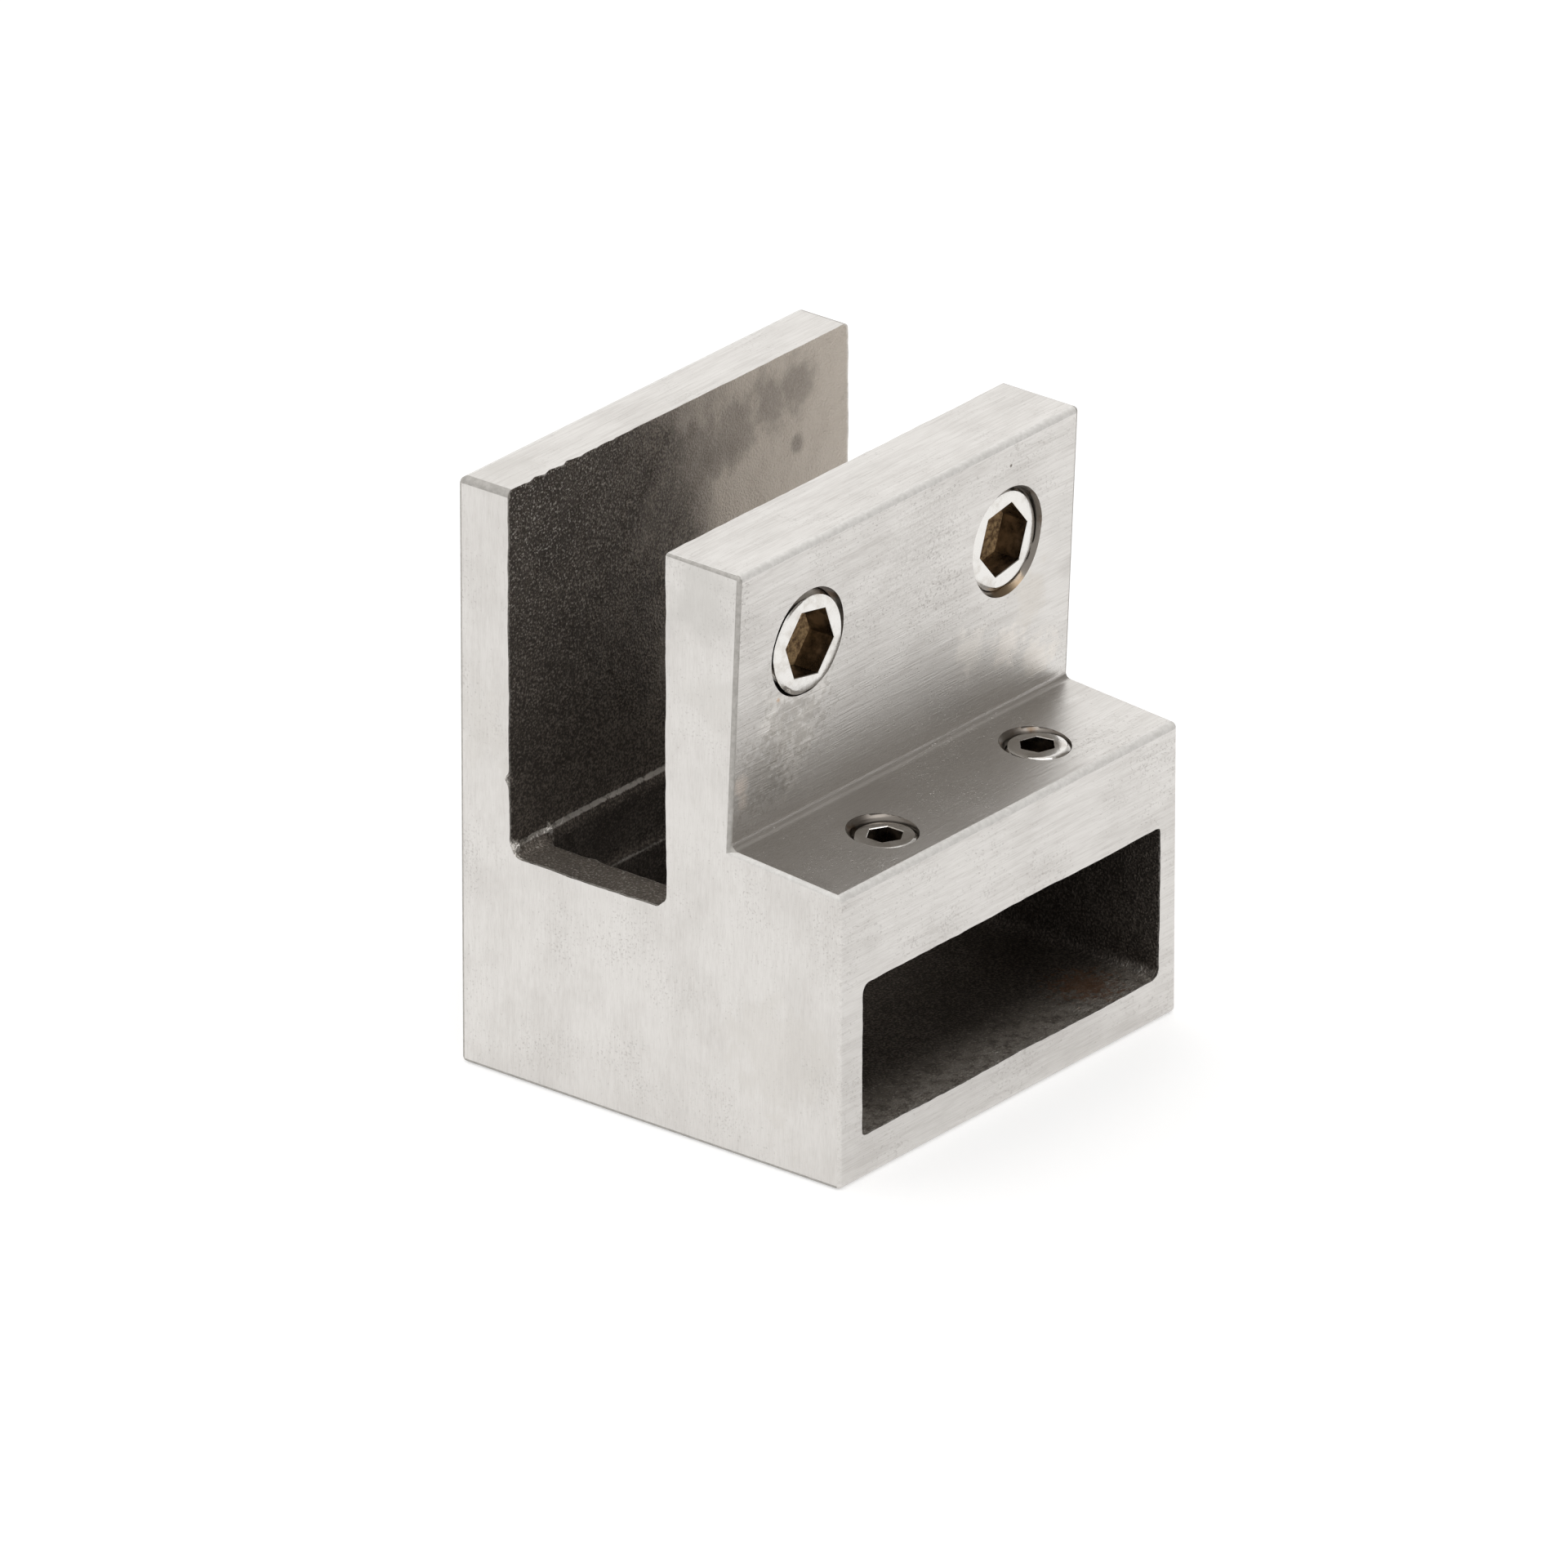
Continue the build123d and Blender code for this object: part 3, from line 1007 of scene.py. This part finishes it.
def screw_seat(kind, side):
    """The middle of a screw's outer end, its outward direction and its length, from the frame."""
    low, high = (Vector(corner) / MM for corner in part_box(f"{kind}_screw_{side}"))
    middle = (low + high) / 2
    if kind == "glass":
        return Vector((middle.x, low.y, middle.z)), Vector((0, -1, 0)), high.y - low.y
    return Vector((middle.x, middle.y, high.z)), Vector((0, 0, 1)), high.z - low.z


def face_height(kind, seat):
    """How far the ground face lies above the screw's outer end, along the screw."""
    if kind == "glass":
        share = (seat.z - step_back_z) / (front_top_z - step_back_z)
        face_y = plate_root_y + (plate_top_y - plate_root_y) * share
        return seat.y - face_y
    share = (seat.y - front_y) / (plate_root_y - front_y)
    return step_front_z + (step_back_z - step_front_z) * share - seat.z


def thread_top(kind):
    """The height at which a screw's thread begins, below its outer end."""
    return -SCREWS[kind]["dome"] - EDGE_SOFTNESS


# %% Hole cutters
def make_hole_cutter(kind, side):
    data = SCREWS[kind]
    seat, outward, _ = screw_seat(kind, side)
    face = face_height(kind, seat)
    bore = data["radius"] + THREAD_GAP

    def hole_radius(share, height, angle):
        radius = thread_radius(share, bore, bore - RIM_CHAMFER)
        for towards, width, steepness in MOUTHS[kind, side]:
            facing = 1.0 if towards is None else max(cos(angle - radians(towards)), 0.0) ** 2
            above = (height - face) / steepness
            if facing > 0.02:
                radius = max(radius, bore + width * facing + above)
        return radius

    # The cutter's thread begins a whole number of turns above the screw's, so that the two mesh.
    pitch = data["pitch"]
    top = thread_top(kind) + pitch * ceil((face + HOLE_OVER - thread_top(kind)) / pitch)
    cutter = Turned(seat, outward, radians(data["turns"][side]), top)
    cutter.thread(hole_radius, top, -data["through"], pitch)
    cutter.close(-data["through"])
    piece = cutter.finish(f"{kind} hole {side}")
    piece.data.materials.append(shaded_thread_steel)
    return piece


hole_cutters = [make_hole_cutter(kind, side) for kind in SCREWS for side in SIDES]

# %% [markdown]
# ## The casting
# The core and the four hole cutters are now taken from the block. The boolean keeps each cutter's
# material on the faces that it leaves, so the cast skin and the cut threads need no masks. What is
# left of the block's own faces is ground or a rubbed edge, by the way it faces and where it lies.

# %% Ground faces
FLAT = 0.9965  # a face's largest normal part is above this where it isn't part of a rounding
ALONG, UP, LONG_EDGE, END_EDGE = range(4)


def paint_ground(piece):
    """Give the ends the upright grain, the long sides the long grain and the roundings their own."""
    for material in (steel_along, steel_up, edge_long, edge_end):
        piece.data.materials.append(material)
    for face in piece.data.polygons:
        away, height = face.center.y / MM, face.center.z / MM
        rounding = max(abs(part) for part in face.normal) < FLAT
        along = abs(face.normal.x) < 0.1
        high = height > step_front_z - 1.0
        in_fillet = abs(away - plate_root_y) < 1.0 and height < step_back_z + 2.0
        if not rounding:
            face.material_index = UP if abs(face.normal.x) > 0.7 else ALONG
        elif along and high and not in_fillet:
            face.material_index = LONG_EDGE
        elif away < plate_root_y - 1.0:
            face.material_index = LONG_EDGE if high else ALONG
        else:
            face.material_index = ALONG if along else END_EDGE


paint_ground(block)
print("painted", len(block.data.polygons), "faces")

# %% [markdown]
# Corners that stick out are worn bright where glass, fingers and other castings rubbed them. The
# mesh knows its own corners: an edge between two faces that turn away from each other is one. The
# turn is stored in each point as a value named wear, spread a little, and the cast skin reads it.

# %% Wear on corners
WEAR_START, WEAR_TURN = radians(14), radians(26)  # where it begins, and how much further it is full
NEAR = 0.6  # wear spreads over edges shorter than this, in millimetres


def mark_wear(piece, rounds):
    """Store how much each point sticks out as a corner, from 0 to 1."""
    bm = bmesh.new()
    bm.from_mesh(piece.data)
    worn = []
    for point in bm.verts:
        joined = [edge for edge in point.link_edges if len(edge.link_faces) == 2]
        sharpest = max((edge.calc_face_angle_signed(0.0) for edge in joined), default=0.0)
        worn.append(min(max((sharpest - WEAR_START) / WEAR_TURN, 0.0), 1.0))
    for _ in range(rounds):
        spread = []
        for point in bm.verts:
            short = [edge for edge in point.link_edges if edge.calc_length() < NEAR * MM]
            own = worn[point.index]
            if short:
                near = sum(worn[edge.other_vert(point).index] for edge in short) / len(short)
                own = max(own * 0.9, near * 0.8)
            spread.append(own)
        worn = spread
    bm.free()
    values = piece.data.attributes.new(WEAR, "FLOAT", "POINT")
    values.data.foreach_set("value", worn)
    print("worn points:", sum(value > 0.3 for value in worn), "of", len(worn))


# %% Take the core and the holes away
cutters = [core] + hole_cutters
for cutter in cutters:
    cut = block.modifiers.new(cutter.name, "BOOLEAN")
    cut.operation = "DIFFERENCE"
    cut.object = cutter
    cut.solver = "MANIFOLD"
    cut.material_mode = "TRANSFER"
settle(block)
for cutter in cutters:
    bpy.data.objects.remove(cutter)
mark_wear(block, 2)
print("casting:", len(block.data.polygons), "faces,", [m.name for m in block.data.materials])

# %% [markdown]
# ## Shading of the casting
# The walls of the casting should look smooth and its corners sharp. Edges that turn by more than a
# limit are marked sharp, and a Weighted Normal modifier lets the large flat faces decide the
# normals along their rims, so no shading creeps from a small rounded edge onto a flat face.

# %% Smooth shading
SHARP_ANGLE = radians(38)


def smooth_with_corners(piece):
    piece.data.shade_smooth()
    piece.data.set_sharp_from_angle(angle=SHARP_ANGLE)
    normals = piece.modifiers.new("weighted normals", "WEIGHTED_NORMAL")
    normals.keep_sharp = True
    normals.weight = 80


smooth_with_corners(block)
block.name = "casting"
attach(block, "body")
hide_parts("connector_body")
print("casting dressed")

# %% [markdown]
# ## The set screws
# A set screw is one turned skin: the floor and walls of the hexagon key socket, the flat ring
# round it, a chamfer, the thread and a cup at the point. Rings are laid from the middle of the
# key socket outwards and down to the cup, and the thread function does the middle stretch.

# %% Screw materials
def make_screw_steel():
    material, tree, shader, _ = new_stained_metal("screw steel", (700.0, 4.0, 0.65), (0.42, 0.72),
                                                  (0.76, 0.745, 0.72, 1.0), (0.60, 0.57, 0.53, 1.0))
    where = object_place(tree)
    fine = noise_node(tree, where, 9000.0, 2.0, 0.5)
    feed(tree, shader, Roughness=range_node(tree, fine, 0.3, 0.7, 0.14, 0.26))
    add_bump(tree, shader, noise_node(tree, where, 700.0, 4.0, 0.6), 0.035 * MM)
    return material


def make_key_rust():
    rusty, dark = (0.62, 0.43, 0.23, 1.0), (0.17, 0.10, 0.05, 1.0)
    material, tree, shader, grains = new_stained_metal("key rust", (2600.0, 5.0, 0.7), (0.35, 0.65),
                                                       rusty, dark)
    feed(tree, shader, Metallic=0.6, Roughness=0.6)
    add_bump(tree, shader, grains, 0.12 * MM)
    return material


# The walls of the key sockets are painted dark as the shade in their deep recess, mottled by a noise.
def make_key_wall():
    dark, worn = (0.10, 0.085, 0.07, 1.0), (0.30, 0.24, 0.18, 1.0)
    material, tree, shader, mottle = new_stained_metal("key wall in painted shade", (900.0, 4.0, 0.6), (0.40, 0.68),
                                                      dark, worn)
    feed(tree, shader, Roughness=range_node(tree, mottle, 0.3, 0.7, 0.22, 0.42))
    add_bump(tree, shader, mottle, 0.02 * MM)
    return material


screw_steel, key_rust, shaded_key_wall = make_screw_steel(), make_key_rust(), make_key_wall()
print("screw materials:", screw_steel.name, key_rust.name, shaded_key_wall.name)

# %% Make a screw
POINT_CHAMFER = 0.7
LEAD_IN = 0.05


def hexagon_radius(angle, across_flats, turned):
    """Distance from the middle of a hexagon to its side, at an angle."""
    sixth = pi / 3
    from_middle = (angle - turned - sixth / 2) % sixth
    from_middle = min(from_middle, sixth - from_middle)
    return across_flats / 2 / cos(from_middle)


def make_screw(kind, side):
    data = SCREWS[kind]
    seat, outward, length = screw_seat(kind, side)
    turned = radians(data["turns"][side])
    radius, face, depth = data["radius"], data["radius"] - RIM_CHAMFER, data["key_depth"]

    def key(grow, share=1.0):
        return lambda angle: share * (hexagon_radius(angle, data["key"], turned) + grow)

    def ragged(down):
        return lambda angle: -down - 0.06 * noise.noise(Vector((cos(angle), sin(angle), down)) * 3.0)

    def screw_radius(share, height, angle):
        thread = thread_radius(share, radius, data["root"])
        point = radius - POINT_CHAMFER + height + length
        return min(thread, face - height, point)

    screw = Turned(seat, outward, turned, -depth - 0.25)
    for share in (0.25, 0.5, 0.75, 0.92):
        screw.ring(key(0, share), ragged(depth + 0.25 * (1 - share)), material=1)
    screw.ring(key(0), -depth + EDGE_SOFTNESS, material=1)
    screw.ring(key(0), -LEAD_IN, material=2)
    screw.ring(key(LEAD_IN * 0.7), -LEAD_IN * 0.3)
    screw.ring(key(LEAD_IN), 0.0)
    screw.ring(key(LEAD_IN + 0.25 * (face - data["key"] / 2)), -0.1 * data["dome"])
    screw.ring(face - 0.15, -0.6 * data["dome"])
    screw.ring(face - EDGE_SOFTNESS, -data["dome"])
    screw.thread(screw_radius, thread_top(kind), -length, data["pitch"])
    screw.ring(data["cup"], -length)
    screw.ring(data["cup"] / 5, -length + data["cup"] / 2)
    screw.close(-length + data["cup"] / 2)
    piece = screw.finish(f"{kind}.screw.{side}")
    for material in (screw_steel, key_rust, shaded_key_wall):
        piece.data.materials.append(material)
    smooth_with_corners(piece)
    node = f"{kind}_screw_{side}"
    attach(piece, node)
    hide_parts(node)
    return piece


screws = [make_screw(kind, side) for kind in SCREWS for side in SIDES]
print(len(screws), "screws")
